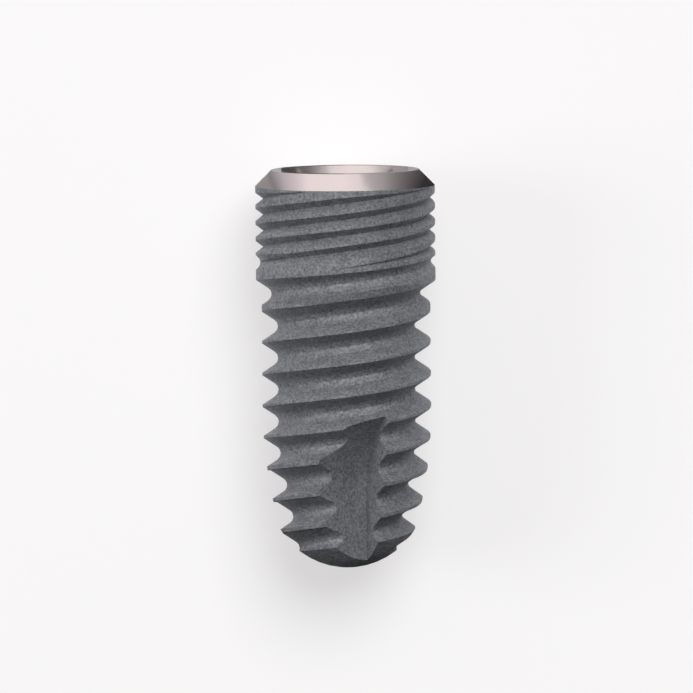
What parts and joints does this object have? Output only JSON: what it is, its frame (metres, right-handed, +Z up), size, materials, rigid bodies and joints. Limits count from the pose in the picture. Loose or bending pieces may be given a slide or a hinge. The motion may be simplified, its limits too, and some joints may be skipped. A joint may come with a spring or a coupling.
{
  "type": "dental implant",
  "caption": "Screw-shaped titanium dental implant with a bevelled platform, collar micro-thread, deep double-start thread, cutting flutes and an internal hexagon.",
  "frame": {"origin": "centre of the mouth of the internal hexagon, in the plane of the platform", "axes": "+Y along the long axis, out of the platform, with the apex towards -Y; the implant lies on its side on a surface, +Z up"},
  "size_m": [0.0044, 0.01, 0.0044],
  "materials": {
    "titanium": "blasted and etched matt grey titanium on the threads, flutes and apex; machined and bright on the bevel, the rim and the socket"
  },
  "bodies": {
    "root": {"implant_body": "titanium"}
  },
  "joints": []
}
